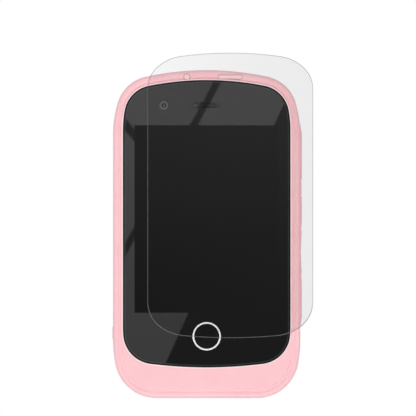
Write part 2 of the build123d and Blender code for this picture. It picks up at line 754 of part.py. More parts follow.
def earpiece_mesh():
    """Earpiece plate in the glass's slot, with two fine rows of sound slits."""
    plate = pill(EARPIECE, EARPIECE_SIZE, (GLASS_Z, FRONT_Z - EARPIECE_SUNK))
    for side in (-1, 1):
        row = (EARPIECE[0] + SLIT_X, EARPIECE[1] + side * SLIT_STEP)
        plate -= pill(row, SLIT_SIZE, ALL_LEVELS)
    return plate - disc(light_sensor_centre(), SENSOR_RADIUS + HAIR_GAP, ALL_LEVELS)


def light_sensor():
    """Round window of the light sensor."""
    return disc(light_sensor_centre(), SENSOR_RADIUS, (GLASS_Z, FRONT_Z - SENSOR_SUNK))


def earpiece_receiver():
    """Small loudspeaker behind the earpiece."""
    x, y = [grown((place, place), half) for place, half in zip(EARPIECE, RECEIVER_HALF)]
    return fillet(block(x, y, RECEIVER_Z).edges().filter_by(Axis.Z), RECEIVER_CORNER)


# ---------------------------------------------------------------- keys and switches


def key_flange(centre, width):
    """Foot under a top key: it keeps the key in and reaches back to its switch."""
    x = centre[0]
    return block((x - width / 2, x + width / 2), KEY_FOOT_Y, FLANGE_Z)


def power_button():
    """Bar-shaped key in the top edge, following the edge's round."""
    cap = power_shape(0, (FLANGE_Z[1], ALL_LEVELS[1])) & (Pos(0, 0, KEY_PROUD) * BODY)
    cap = chamfer(cap.faces().sort_by(Axis.Z)[-1].edges(), KEY_BEVEL)
    return cap + key_flange(POWER, POWER_FOOT_WIDTH)


def round_key():
    """Small round key in the top edge, following the edge's round."""
    cap = disc(ROUND_KEY, ROUND_KEY_RADIUS, (FLANGE_Z[1], ALL_LEVELS[1])) & (Pos(0, 0, KEY_PROUD) * BODY)
    cap = chamfer(cap.faces().sort_by(Axis.Z)[-1].edges(), KEY_BEVEL)
    return cap + key_flange(ROUND_KEY, ROUND_KEY_FOOT_WIDTH)


def top_switch(key):
    """Switch on the board behind a top key."""
    return board_switch((key[0], TOP_SWITCH_Y), FLANGE_Z[0] - TOP_TRAVEL - DOME_GAP)


def side_key_part(y, length):
    """Key in the right side: its face follows the dip it stands in."""
    cap = side_pill(y, length, SIDE_KEY_HEIGHT, (SIDE_FLANGE_X[1], SIDE_HOLE_X[1]))
    cap &= Pos(SIDE_PROUD, 0, 0) * BODY
    longer, taller = SIDE_FLANGE_MARGIN
    return cap + side_pill(y, length + longer, SIDE_KEY_HEIGHT + taller, SIDE_FLANGE_X)


def side_switch(y):
    """Switch on the side ribbon, pushed by a side key."""
    middle = (y, SIDE_KEY_Z)
    foot_y, foot_z = [grown((place, place), half) for place, half in zip(middle, SIDE_FOOT_HALF)]
    plunger_y, plunger_z = [grown((place, place), PLUNGER_HALF) for place in middle]
    reach = SIDE_FLANGE_X[0] - SIDE_TRAVEL - DOME_GAP
    return block(SIDE_FOOT_X, foot_y, foot_z) + block((SIDE_FOOT_X[1], reach), plunger_y, plunger_z)


def side_key_flex():
    """Stiffened ribbon that stands on the board and carries the side switches."""
    return block(SIDE_FLEX_X, SIDE_FLEX_Y, (BOARD_Z[1], SIDE_FLEX_TOP_Z))


# ---------------------------------------------------------------- board and what is on it


def main_board():
    """Circuit board, shaped to the housing, with a hole for each screw."""
    board = prism(outline_face(CASE, BOARD_INSET), BOARD_Z)
    for centre in SCREWS:
        board -= disc(centre, BOARD_HOLE_RADIUS, ALL_LEVELS)
    return board


def shield_can():
    """Tinned lid over the processor and the memory, on the board's rear face."""
    can = block(SHIELD_X, SHIELD_Y, (SHIELD_REAR_Z, BOARD_Z[0]))
    can = fillet(bottom_edges(can), SHIELD_ROUND)
    inner_z = (SHIELD_REAR_Z + SHIELD_WALL, BOARD_Z[0] + PAST)
    return can - block(grown(SHIELD_X, -SHIELD_WALL), grown(SHIELD_Y, -SHIELD_WALL), inner_z)


def processor():
    """Main chip under the shield."""
    return block(PROCESSOR_X, PROCESSOR_Y, (PROCESSOR_REAR_Z, BOARD_Z[0]))


def memory_chip():
    """Memory chip under the shield."""
    return block(MEMORY_X, MEMORY_Y, (MEMORY_REAR_Z, BOARD_Z[0]))


def battery():
    """Flat rechargeable pack with rounded edges."""
    pack = block(BATTERY_X, BATTERY_Y, BATTERY_Z)
    return fillet(pack.edges().filter_by(Axis.Y), BATTERY_ROUND)


def battery_connector():
    """Socket for the battery's leads, on the board's rear face."""
    return block(CONNECTOR_X, CONNECTOR_Y, (CONNECTOR_REAR_Z, BOARD_Z[0]))


def battery_leads():
    """Two insulated leads from the pack to the socket."""
    leads = []
    for middle in LEADS_X:
        x = grown((middle, middle), LEAD_RADIUS)
        lead = block(x, (BATTERY_Y[1] - LEAD_OVERLAP, LEAD_STEP_Y + 2 * LEAD_RADIUS), LEAD_LOW_Z)
        leads.append(lead + block(x, (LEAD_STEP_Y, CONNECTOR_Y[0]), LEAD_HIGH_Z))
    return Compound(children=leads)


def speaker():
    """Loudspeaker behind the grille, with rounded corners."""
    return rounded_plate(SPEAKER_X, SPEAKER_Y, SPEAKER_Z, SPEAKER_CORNER)


def speaker_mesh():
    """Dust mesh between the loudspeaker and the grille."""
    x, y = grown(SPEAKER_X, -MESH_INSET[0]), grown(SPEAKER_Y, -MESH_INSET[1])
    return rounded_plate(x, y, MESH_Z, MESH_CORNER)


def charging_port():
    """Socket in the bottom edge: a folded steel shell with a contact tongue in it."""
    middle = BOARD_Z[1] + PORT_SIZE[1] / 2
    depth = PORT_Y[1] - PORT_Y[0]
    face = Plane.XZ.offset(-PORT_Y[0]) * Pos(0, middle)
    shell = extrude(face * RectangleRounded(*PORT_SIZE, PORT_CORNER), -depth)
    inner = RectangleRounded(*grown_size(PORT_SIZE, -PORT_SHELL), PORT_CORNER - PORT_SHELL)
    shell -= extrude(face * inner, -depth + PORT_BACK)
    tongue_z = [middle + level for level in TONGUE_RANGE]
    tongue_y = (PORT_Y[0] + TONGUE_SUNK, PORT_Y[1])
    return shell + block((-TONGUE_HALF_WIDTH, TONGUE_HALF_WIDTH), tongue_y, tongue_z)


def microphone():
    """Microphone on the board, behind its hole in the bottom edge."""
    x = grown((MICROPHONE_X, MICROPHONE_X), MICROPHONE_HALF_WIDTH)
    return block(x, MICROPHONE_Y, (BOARD_Z[1], BOARD_Z[1] + MICROPHONE_HEIGHT))


def antenna_flex():
    """Printed aerial under the chin's deck."""
    return block(ANTENNA_X, ANTENNA_Y, (DECK_Z - ANTENNA_THICKNESS, DECK_Z))


# ---------------------------------------------------------------- rear camera


def rear_camera_ring():
    """Bezel of the rear camera, let into the back and level with it."""
    trim = ring(REAR_CAMERA, REAR_CAMERA_RING, REAR_CAMERA_RING_Z)
    return chamfer(bottom_edges(trim), REAR_CAMERA_BEVEL)


def rear_camera_window():
    """Clear window in the bezel."""
    return disc(REAR_CAMERA, REAR_CAMERA_RING[0] - HAIR_GAP, REAR_WINDOW_Z)


def rear_camera_module():
    """Rear camera block and its barrel."""
    x, y = [grown((place, place), REAR_MODULE_HALF) for place in REAR_CAMERA]
    return disc(REAR_CAMERA, REAR_BARREL_RADIUS, REAR_MODULE_Z[:2]) + block(x, y, REAR_MODULE_Z[1:])


def flash_lens():
    """Clear pipe that carries the flash's light to the back."""
    return disc(FLASH, FLASH_LENS_RADIUS, FLASH_Z[:2]) + disc(FLASH, FLASH_PIPE_RADIUS, FLASH_Z[1:])


def flash_led():
    """Light-emitting diode on the board behind the flash lens."""
    x, y = [grown((place, place), FLASH_PIPE_RADIUS) for place in FLASH]
    return block(x, y, (DIODE_REAR_Z, BOARD_Z[0]))


# ---------------------------------------------------------------- screen protector


def screen_protector():
    """Clear sheet with a sloping edge, lying on the lip, pushed up and to the right."""
    low = FRONT_Z + LIP_HEIGHT + PROTECTOR_GAP
    sheet = prism(outline_face(SHEET), (low, low + PROTECTOR_THICKNESS))
    sheet = chamfer(top_edges(sheet), PROTECTOR_BEVEL)
    return Pos(*PROTECTOR_SHIFT, 0) * sheet


# ---------------------------------------------------------------- all parts


def all_parts():
    """Every sub-part by name."""
    parts = {
        "front_frame": front_frame(),
        "rear_housing": rear_housing(),
        "battery_door": battery_door(),
        "battery_door_screw": battery_door_screw(),
        "housing_screws": housing_screws(),
        "lanyard_bar": lanyard_bar(),
        "cover_glass": cover_glass(),
        "glass_gasket": glass_gasket(),
        "touch_sensor": block(grown(DISPLAY_X, -TOUCH_INSET), grown(DISPLAY_Y, -TOUCH_INSET), TOUCH_Z),
        "display_panel": tray_layer(PANEL_Z),
        "backlight_unit": tray_layer(BACKLIGHT_Z),
        "display_tray": display_tray(),
        "display_flex": display_flex(),
        "home_button_ring": home_button_ring(),
        "home_button": home_button(),
        "home_switch": home_switch(),
        "front_camera_module": front_camera_module(),
        "front_camera_ring": front_camera_ring(),
        "front_camera_lens": front_camera_lens(),
        "earpiece_mesh": earpiece_mesh(),
        "light_sensor": light_sensor(),
        "earpiece_receiver": earpiece_receiver(),
        "power_button": power_button(),
        "power_switch": top_switch(POWER),
        "round_key": round_key(),
        "round_key_switch": top_switch(ROUND_KEY),
        "side_key_flex": side_key_flex(),
        "main_board": main_board(),
        "shield_can": shield_can(),
        "processor": processor(),
        "memory_chip": memory_chip(),
        "battery": battery(),
        "battery_connector": battery_connector(),
        "battery_leads": battery_leads(),
        "speaker": speaker(),
        "speaker_mesh": speaker_mesh(),
        "charging_port": charging_port(),
        "microphone": microphone(),
        "antenna_flex": antenna_flex(),
        "rear_camera_ring": rear_camera_ring(),
        "rear_camera_window": rear_camera_window(),
        "rear_camera_module": rear_camera_module(),
        "flash_lens": flash_lens(),
        "flash_led": flash_led(),
        "screen_protector": screen_protector(),
    }
    for name, y, length in side_keys():
        key = name if name.endswith("key") else name + "_key"
        parts[key] = side_key_part(y, length)
        parts[name + "_switch"] = side_switch(y)
    return parts


os.makedirs("parts", exist_ok=True)
for name, part in all_parts().items():
    export_step(part, f"parts/{name}.step")
    print(name, round(part.volume, 1))
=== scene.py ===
import json
import math

import bmesh
import bpy
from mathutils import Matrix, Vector

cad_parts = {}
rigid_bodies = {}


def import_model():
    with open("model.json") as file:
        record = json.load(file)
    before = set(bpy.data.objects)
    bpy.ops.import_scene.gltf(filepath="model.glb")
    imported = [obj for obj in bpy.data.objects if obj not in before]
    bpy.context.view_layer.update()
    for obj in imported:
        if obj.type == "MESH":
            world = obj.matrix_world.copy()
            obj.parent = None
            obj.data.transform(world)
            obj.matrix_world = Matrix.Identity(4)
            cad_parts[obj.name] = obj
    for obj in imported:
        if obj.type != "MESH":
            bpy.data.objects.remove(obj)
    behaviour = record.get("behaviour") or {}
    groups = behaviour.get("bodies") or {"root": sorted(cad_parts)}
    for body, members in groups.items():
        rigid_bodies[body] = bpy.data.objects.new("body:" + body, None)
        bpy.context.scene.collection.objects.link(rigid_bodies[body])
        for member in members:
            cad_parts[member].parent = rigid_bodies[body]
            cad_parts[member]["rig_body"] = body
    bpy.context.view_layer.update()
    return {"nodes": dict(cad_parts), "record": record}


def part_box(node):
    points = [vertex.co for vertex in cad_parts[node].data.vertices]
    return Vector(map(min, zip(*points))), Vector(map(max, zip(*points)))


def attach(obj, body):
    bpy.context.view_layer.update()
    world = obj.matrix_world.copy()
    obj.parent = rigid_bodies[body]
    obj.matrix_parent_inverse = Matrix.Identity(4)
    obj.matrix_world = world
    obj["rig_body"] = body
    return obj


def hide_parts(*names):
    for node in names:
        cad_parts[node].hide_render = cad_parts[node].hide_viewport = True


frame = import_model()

MM = 0.001
NODES = frame["nodes"]

# ---------------------------------------------------------------- colour and node helpers


def srgb(red, green, blue, alpha=1.0):
    """A display colour from 0 to 255 as linear light."""
    linear = []
    for value in (red, green, blue):
        value /= 255
        linear.append(value / 12.92 if value <= 0.04045 else ((value + 0.055) / 1.055) ** 2.4)
    return (*linear, alpha)


class Shader:
    """A material's node tree, built up by small calls."""

    def __init__(self, name, colour, **sockets):
        self.material = bpy.data.materials.new(name)
        self.material.use_nodes = True
        self.tree = self.material.node_tree
        self.bsdf = self.tree.nodes["Principled BSDF"]
        self.bsdf.inputs["Base Color"].default_value = colour
        for key, value in sockets.items():
            self.bsdf.inputs[key.replace("_", " ")].default_value = value
        self.coordinates = self.node("ShaderNodeTexCoord").outputs["Object"]

    def node(self, kind, **settings):
        made = self.tree.nodes.new(kind)
        for key, value in settings.items():
            setattr(made, key, value)
        return made

    def join(self, source, target):
        self.tree.links.new(source, target)

    def noise(self, size_mm, detail=3.0, roughness=0.55, stretch=(1, 1, 1)):
        """Noise whose grains are about size_mm across, longer along a stretched axis."""
        mapping = self.node("ShaderNodeMapping")
        mapping.inputs["Scale"].default_value = [1 / s for s in stretch]
        self.join(self.coordinates, mapping.inputs["Vector"])
        texture = self.node("ShaderNodeTexNoise")
        texture.inputs["Scale"].default_value = 1 / (size_mm * MM)
        texture.inputs["Detail"].default_value = detail
        texture.inputs["Roughness"].default_value = roughness
        self.join(mapping.outputs["Vector"], texture.inputs["Vector"])
        return texture.outputs["Fac"]

    def ramp(self, source, low, high, start=0.35, stop=0.65):
        """Maps a value between two others, as colour or as number."""
        made = self.node("ShaderNodeMapRange")
        made.inputs["From Min"].default_value = start
        made.inputs["From Max"].default_value = stop
        made.inputs["To Min"].default_value = low
        made.inputs["To Max"].default_value = high
        self.join(source, made.inputs["Value"])
        return made.outputs["Result"]

    def mix(self, factor, first, second):
        """Mixes two colours, each given as a value or as a socket."""
        made = self.node("ShaderNodeMix", data_type="RGBA")
        self.join(factor, made.inputs["Factor"])
        for socket, colour in ((made.inputs[6], first), (made.inputs[7], second)):
            if isinstance(colour, tuple):
                socket.default_value = colour
            else:
                self.join(colour, socket)
        return made.outputs[2]

    def along(self, axis, start_mm, stop_mm, low=0, high=1):
        """A value that runs from low to high between two levels along an axis."""
        parts = self.node("ShaderNodeSeparateXYZ")
        self.join(self.coordinates, parts.inputs["Vector"])
        return self.ramp(parts.outputs[axis], low, high, start_mm * MM, stop_mm * MM)

    def maths(self, operation, first, second=None):
        """One arithmetic step on one or two values."""
        made = self.node("ShaderNodeMath", operation=operation)
        self.join(first, made.inputs[0])
        if second is not None:
            self.join(second, made.inputs[1])
        return made.outputs[0]

    def paint(self, colour):
        self.join(colour, self.bsdf.inputs["Base Color"])

    def rough(self, value):
        self.join(value, self.bsdf.inputs["Roughness"])

    def bump(self, height, depth_mm, strength=1.0):
        made = self.node("ShaderNodeBump")
        made.inputs["Strength"].default_value = strength
        made.inputs["Distance"].default_value = depth_mm * MM
        self.join(height, made.inputs["Height"])
        self.join(made.outputs["Normal"], self.bsdf.inputs["Normal"])


# ---------------------------------------------------------------- materials

PINK = srgb(255, 204, 209)
PINK_DEEP = srgb(254, 200, 206)
# Painted highlight for the lip round the glass.
PINK_PAINTED_HIGHLIGHT = srgb(255, 232, 233)
# Painted light: the keys' pink is drawn paler than the housing's so they read bright under the
# sheet.
KEY_PINK_PAINTED_LIGHT = srgb(255, 216, 219)
LIP_LEVEL_MM = 15.06
LIP_FADE_MM = 0.03
# How squarely the sheet's edge must face a corner for its painted highlight to be densest.
CORNER_TURN = 0.25


def moulded(name, colour, deeper, roughness=0.42, grain_mm=0.16, depth_mm=0.006):
    """Moulded plastic: a fine sparked grain with faint flow clouds in colour and gloss."""
    made = Shader(name, colour, Specular_IOR_Level=0.45)
    made.clouds = made.mix(made.ramp(made.noise(9, 4), 0, 1), colour, deeper)
    made.paint(made.clouds)
    made.rough(made.ramp(made.noise(1.2, 4), roughness - 0.05, roughness + 0.06))
    made.bump(made.noise(grain_mm, 2), depth_mm, 0.6)
    return made


def pink_housing():
    """The housing's pink, with a painted highlight: paler above the lip round the glass."""
    made = moulded("pink_housing", PINK, PINK_DEEP)
    # Painted highlight: the pink turns paler above the lip's level.
    lip = made.along("Z", LIP_LEVEL_MM - LIP_FADE_MM, LIP_LEVEL_MM + LIP_FADE_MM)
    made.paint(made.mix(lip, made.clouds, PINK_PAINTED_HIGHLIGHT))
    return made.material


def key_plastic():
    # Painted light: a paler copy of the housing's pink.
    return moulded("key_plastic", KEY_PINK_PAINTED_LIGHT, srgb(255, 211, 215), 0.34).material


def border_glass():
    """Glass printed black behind: deep, polished, with a trace of finger smears."""
    made = Shader("border_glass", srgb(24, 24, 25), Specular_IOR_Level=0.5)
    made.rough(made.ramp(made.noise(14, 5, 0.6, (1, 2.2, 1)), 0.006, 0.02))
    # Painted light: the black print is drawn paler towards the top.
    made.paint(made.mix(made.along("Y", -35, 25), srgb(20, 20, 21), srgb(34, 34, 35)))
    return made.material


def eased_glass():
    """The glass's rounded rim, printed black behind; drawn dark and barely mirroring as a painted
    dark outline.
    """
    made = Shader("eased_glass", srgb(10, 10, 10), Specular_IOR_Level=0.12)
    made.rough(made.ramp(made.noise(1.5, 3), 0.3, 0.45))
    made.paint(made.mix(made.ramp(made.noise(4, 2), 0, 1), srgb(9, 9, 9), srgb(13, 13, 13)))
    return made.material


def glass_glint():
    """A painted highlight: the thin line where the rim starts to fall away, drawn lighter than
    the border.
    """
    made = Shader("glass_glint", srgb(50, 51, 51), Specular_IOR_Level=0.5)
    made.rough(made.ramp(made.noise(2, 3), 0.02, 0.06))
    made.paint(made.mix(made.ramp(made.noise(6, 2), 0, 1), srgb(47, 48, 48), srgb(54, 55, 55)))
    return made.material


def window_glass():
    """The display's window, switched off, with painted light: darkest in its lower left corner,
    paler to the top.
    """
    made = Shader("window_glass", srgb(30, 30, 31), Specular_IOR_Level=0.0)
    # Painted shade and light: darker to the lower left, paler towards the top.
    lower = made.mix(made.along("X", -18, 22), srgb(25, 25, 26), srgb(29, 29, 30))
    made.paint(made.mix(made.along("Y", -20, 30), lower, srgb(35, 35, 36)))
    made.rough(made.ramp(made.noise(0.25, 1), 0.22, 0.3))
    return made.material


def clear_film():
    """Clear protector sheet: a faint grey tint, denser to the right as painted shade, paler at
    the top as painted light.
    """
    made = Shader("clear_film", srgb(28, 28, 29), Specular_IOR_Level=0.06, Roughness=0.06)
    # Painted light: the sheet's haze is paler towards the top.
    made.paint(made.mix(made.along("Y", 0, 35), srgb(24, 24, 25), srgb(52, 52, 53)))
    # Painted shade: the sheet is denser towards the right.
    tint = made.along("X", -14, 26, 0.048, 0.088)
    streaks = made.ramp(made.noise(30, 3, 0.5, (1, 3, 1)), -0.003, 0.003)
    made.join(made.maths("ADD", tint, streaks), made.bsdf.inputs["Alpha"])
    made.rough(made.ramp(made.noise(8, 4), 0.04, 0.09))
    return made.material


def film_edge():
    """The sheet's ground edge: greyer than its faces, and densest round the lower corners as a
    painted highlight.
    """
    made = Shader("film_edge", srgb(122, 122, 123), Specular_IOR_Level=0.3)
    facing = made.node("ShaderNodeSeparateXYZ")
    made.join(made.node("ShaderNodeTexCoord").outputs["Normal"], facing.inputs["Vector"])
    slant = made.maths("MULTIPLY", facing.outputs["X"], facing.outputs["Y"])
    # Painted highlight: denser where the edge faces a corner, and towards the bottom.
    corner = made.maths("ABSOLUTE", slant)
    lower = made.maths("MULTIPLY", corner, made.along("Y", -30, 45, 1, 0.2))
    made.join(made.ramp(lower, 0.46, 0.8, 0, CORNER_TURN), made.bsdf.inputs["Alpha"])
    made.rough(made.ramp(made.noise(0.3, 2), 0.3, 0.5))
    return made.material


def gloss(name, colour, other, roughness=0.12, bumpy=True, **sockets):
    """Polished plastic with faint unevenness."""
    made = Shader(name, colour, **sockets)
    made.paint(made.mix(made.ramp(made.noise(4, 3), 0, 1), colour, other))
    made.rough(made.ramp(made.noise(2, 4), roughness * 0.7, roughness * 1.5))
    if bumpy:
        made.bump(made.noise(3, 2), 0.004, 0.4)
    return made.material


def metal(name, colour, other, roughness=0.3, stretch=(1, 1, 1), grain_mm=0.4):
    """Bare metal with fine grain, drawn out along the stretched axis."""
    made = Shader(name, colour, Metallic=1.0)
    grain = made.noise(grain_mm, 4, 0.6, stretch)
    made.paint(made.mix(made.ramp(grain, 0, 1), colour, other))
    made.rough(made.ramp(grain, roughness - 0.08, roughness + 0.12))
    made.bump(grain, 0.004, 0.5)
    return made.material


def coated_lens(name, colour, other):
    """Lens with a faintly coloured coating that shows at its edge."""
    made = Shader(name, colour, Roughness=0.03, Coat_Weight=1.0, Coat_Roughness=0.02)
    edge = made.node("ShaderNodeLayerWeight")
    edge.inputs["Blend"].default_value = 0.35
    made.paint(made.mix(edge.outputs["Facing"], colour, other))
    made.rough(made.ramp(made.noise(1.0, 2), 0.02, 0.05))
    return made.material


def woven(name, colour, other, pitch_mm=0.3):
    """Fine square weave of threads or wires."""
    made = Shader(name, colour, Specular_IOR_Level=0.3)
    waves = []
    for direction in ("X", "Y"):
        wave = made.node("ShaderNodeTexWave", wave_type="BANDS", bands_direction=direction)
        wave.inputs["Scale"].default_value = 0.32 / (pitch_mm * MM)
        made.join(made.coordinates, wave.inputs["Vector"])
        waves.append(wave.outputs["Fac"])
    crossed = made.maths("MULTIPLY", *waves)
    made.paint(made.mix(crossed, other, colour))
    made.rough(made.ramp(made.noise(0.5, 2), 0.55, 0.8))
    made.bump(crossed, 0.05, 0.8)
    return made.material


def board_green():
    """Circuit board: solder mask over a maze of copper tracks, with bare gold pads."""
    made = Shader("board_green", srgb(24, 96, 62), Specular_IOR_Level=0.5)
    bricks = made.node("ShaderNodeTexBrick")
    bricks.inputs["Scale"].default_value = 260
    bricks.inputs["Mortar Size"].default_value = 0.04
    bricks.inputs["Color1"].default_value = srgb(22, 90, 58)
    bricks.inputs["Color2"].default_value = srgb(28, 104, 66)
    bricks.inputs["Mortar"].default_value = srgb(52, 138, 82)
    made.join(made.coordinates, bricks.inputs["Vector"])
    cells = made.node("ShaderNodeTexVoronoi")
    cells.inputs["Scale"].default_value = 420
    made.join(made.coordinates, cells.inputs["Vector"])
    pads = made.ramp(cells.outputs["Distance"], 1, 0, 0.10, 0.13)
    made.paint(made.mix(pads, bricks.outputs["Color"], srgb(206, 170, 92)))
    made.rough(made.ramp(made.noise(2, 3), 0.25, 0.4))
    made.bump(bricks.outputs["Fac"], 0.02, 0.4)
    return made.material


def ribbon_amber():
    """Polyimide ribbon with copper tracks running along it."""
    made = Shader("ribbon_amber", srgb(196, 128, 48), Specular_IOR_Level=0.5)
    wave = made.node("ShaderNodeTexWave", wave_type="BANDS", bands_direction="X")
    wave.inputs["Scale"].default_value = 600
    made.join(made.coordinates, wave.inputs["Vector"])
    tracks = made.ramp(wave.outputs["Fac"], 0, 1, 0.45, 0.55)
    made.paint(made.mix(tracks, srgb(182, 116, 42), srgb(214, 152, 70)))
    made.rough(made.ramp(made.noise(1.5, 3), 0.25, 0.4))
    made.bump(tracks, 0.01, 0.5)
    return made.material


def foam_tape():
    """Closed-cell foam."""
    made = Shader("foam_tape", srgb(26, 26, 27), Specular_IOR_Level=0.25)
    cells = made.node("ShaderNodeTexVoronoi")
    cells.inputs["Scale"].default_value = 5000
    made.join(made.coordinates, cells.inputs["Vector"])
    made.paint(made.mix(cells.outputs["Distance"], srgb(18, 18, 19), srgb(40, 40, 41)))
    made.rough(made.ramp(made.noise(0.4, 2), 0.75, 0.95))
    made.bump(cells.outputs["Distance"], 0.03, 0.7)
    return made.material


def chip_resin():
    """Moulded chip package with a fine sanded texture."""
    made = Shader("chip_resin", srgb(32, 32, 33), Specular_IOR_Level=0.4)
    grain = made.noise(0.08, 3)
    made.paint(made.mix(made.ramp(grain, 0, 1), srgb(28, 28, 29), srgb(42, 42, 43)))
    made.rough(made.ramp(grain, 0.5, 0.7))
    made.bump(grain, 0.01, 0.6)
    return made.material


MATERIALS = {
    "pink_plastic": pink_housing(),
    "key_plastic": key_plastic(),
    "black_gloss": gloss(
        "black_gloss", srgb(21, 21, 22), srgb(24, 24, 25), 0.3, False, Specular_IOR_Level=0.08
    ),
    "white_gloss": gloss("white_gloss", srgb(250, 250, 250), srgb(242, 242, 243), 0.16),
    "grey_trim": gloss("grey_trim", srgb(98, 98, 104), srgb(88, 88, 94), 0.3, False),
    "lens_glass": coated_lens("lens_glass", srgb(16, 17, 26), srgb(42, 44, 78)),
    "dark_mesh": gloss("dark_mesh", srgb(22, 22, 23), srgb(28, 28, 29), 0.02, False),
    "mesh_cloth": woven("mesh_cloth", srgb(44, 44, 46), srgb(14, 14, 15), 0.3),
    "silver_trim": metal("silver_trim", srgb(226, 222, 224), srgb(206, 202, 205), 0.24),
    "clear_lens": gloss(
        "clear_lens", srgb(240, 238, 226), srgb(226, 222, 200), 0.08, Coat_Weight=0.6
    ),
    "steel": metal("steel", srgb(196, 196, 199), srgb(170, 170, 174), 0.28, (1, 1, 1), 0.2),
    "tinned_steel": metal(
        "tinned_steel", srgb(206, 206, 204), srgb(184, 184, 182), 0.32, (1, 12, 1), 0.3
    ),
    "foam": foam_tape(),
    "touch_film": gloss("touch_film", srgb(34, 36, 40), srgb(38, 40, 45), 0.12),
    "display_glass": gloss("display_glass", srgb(22, 22, 24), srgb(27, 27, 29), 0.10),
    "diffuser": moulded("diffuser", srgb(240, 240, 238), srgb(230, 230, 228), 0.6).material,
    "circuit_board": board_green(),
    "amber_film": ribbon_amber(),
    "switch_black": moulded("switch_black", srgb(50, 50, 52), srgb(42, 42, 44), 0.5).material,
    "chip_black": chip_resin(),
    "tinned_can": metal("tinned_can", srgb(214, 198, 150), srgb(190, 176, 130), 0.34),
    "battery_wrap": metal(
        "battery_wrap", srgb(186, 190, 196), srgb(166, 170, 178), 0.4, (8, 1, 1), 0.6
    ),
    "lead_insulation": gloss("lead_insulation", srgb(168, 30, 28), srgb(150, 24, 24), 0.4),
    "led_package": gloss("led_package", srgb(246, 232, 140), srgb(236, 214, 104), 0.3),
    "black_glass": border_glass(),
    "clear_film": clear_film(),
}

SLOTS = {part["node"]: part["material_slot"] for part in frame["record"]["subparts"]}
for name, node in NODES.items():
    node.data.materials.clear()
    node.data.materials.append(MATERIALS[SLOTS[name]])

# ---------------------------------------------------------------- cover glass

WINDOW_X = (-21.8, 21.7)
WINDOW_Y = (-23.7, 32.9)
# Width of the painted glint line inside the glass's rim.
GLINT_WIDTH = 0.3
# How squarely a face looks up to count as part of the glass's or the sheet's flat face.
GLASS_FLATNESS = 0.9995
SHEET_FLATNESS = 0.99
# The glass's materials, by their place in its list.
BORDER, WINDOW, RIM, GLINT = range(4)
OPENING_NODES = ("home_button_ring", "front_camera_ring", "earpiece_mesh")
OPENING_MARGIN = 1.0


def copy_of(node_name, piece_name):
    """A new piece with a CAD node's mesh, standing for that node."""
    source = NODES[node_name]
    piece = bpy.data.objects.new(piece_name, source.data.copy())
    bpy.context.scene.collection.objects.link(piece)
    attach(piece, source["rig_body"])
    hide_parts(node_name)
    return piece


def near_opening(point):
    """Whether a point of the glass lies beside one of its openings."""
    for name in OPENING_NODES:
        low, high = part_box(name)
        margin = OPENING_MARGIN * MM
        if all(low[i] - margin < point[i] < high[i] + margin for i in (0, 1)):
            return True
    return False


def cover_glass_panel():
    """The glass: eased rim painted dark, a thin painted glint inside it, black border, and the
    display's window.
    """
    piece = copy_of("cover_glass", "cover_glass_panel")
    mesh = bmesh.new()
    mesh.from_mesh(piece.data)
    front = [face for face in mesh.faces if face.normal.z > GLASS_FLATNESS]
    inset = bmesh.ops.inset_region(
        mesh, faces=front, thickness=GLINT_WIDTH * MM, use_even_offset=True, use_boundary=True
    )
    glint = {face for face in inset["faces"] if not near_opening(face.calc_center_median())}
    for face in mesh.faces:
        flat = BORDER if face.normal.z > GLASS_FLATNESS else RIM
        face.material_index = GLINT if face in glint else flat
    for axis, limits in ((0, WINDOW_X), (1, WINDOW_Y)):
        for limit in limits:
            point = [0, 0, 0]
            normal = [0, 0, 0]
            point[axis] = limit * MM
            normal[axis] = 1
            everything = mesh.verts[:] + mesh.edges[:] + mesh.faces[:]
            bmesh.ops.bisect_plane(mesh, geom=everything, plane_co=point, plane_no=normal)
    for face in mesh.faces:
        x, y, _ = face.calc_center_median() / MM
        inside = WINDOW_X[0] < x < WINDOW_X[1] and WINDOW_Y[0] < y < WINDOW_Y[1]
        if face.material_index == BORDER and inside:
            face.material_index = WINDOW
    mesh.to_mesh(piece.data)
    mesh.free()
    for material in (window_glass(), eased_glass(), glass_glint()):
        piece.data.materials.append(material)
    return piece


cover_glass_panel()

# ---------------------------------------------------------------- screen protector


def protector_sheet():
    """The clear sheet, with its sloping edge ground rather than polished."""
    piece = copy_of("screen_protector", "protector_sheet")
    mesh = bmesh.new()
    mesh.from_mesh(piece.data)
    for face in mesh.faces:
        face.material_index = int(abs(face.normal.z) < SHEET_FLATNESS)
    mesh.to_mesh(piece.data)
    mesh.free()
    piece.data.materials.append(film_edge())
    piece.visible_shadow = False
    piece.visible_diffuse = False
    return piece


protector_sheet()

# ---------------------------------------------------------------- floor, light and camera

# Lengths from here on are in metres, unless a name ends in _MM.
VIEW_WIDTH = 125.6 * MM
VIEW_CENTRE = Vector((0.39, 7.93, 15.0)) * MM
CAMERA_HEIGHT = 0.9
CARD_HEIGHT = 1.2
CARD_STRENGTH = {"wide": (0.92, 1.42), "corner": (0.92, 1.25), "side": (0.92, 1.22)}
CARD_FADE_MM = (-10, 40)
CARD_REACH_MM = 70
# Edges of the cards' mirror images on the glass: x at y = 0, and how much x grows with y.
DIAGONAL = (5.31, 0.456)
GAP_RIGHT = (-20.9, 0.552)
GAP_LEFT = (-23.18, 0.549)
NOTCH_TOP = (4.85, -0.84)
NOTCH_BOTTOM = (2.98, -0.886)
# Brightness of the air from straight below, 0, through the horizon, 0.5, to overhead, 1.
AIR_LEVELS = ((0.0, 0.35), (0.47, 0.35), (0.53, 0.6), (0.775, 0.75), (0.95, 0.1))
FLOOR_REACH = 3
FLOOR_LEVEL = -0.0002
# Azimuth and power in watts of each softbox, and what they share.
SOFTBOXES = ((0, 2.2), (90, 1.6), (180, 2.2), (270, 3.4))
SOFTBOX_ELEVATION = 48
SOFTBOX_DISTANCE = 1.1
SOFTBOX_SIZE = 0.5
SENSOR_WIDTH = 36


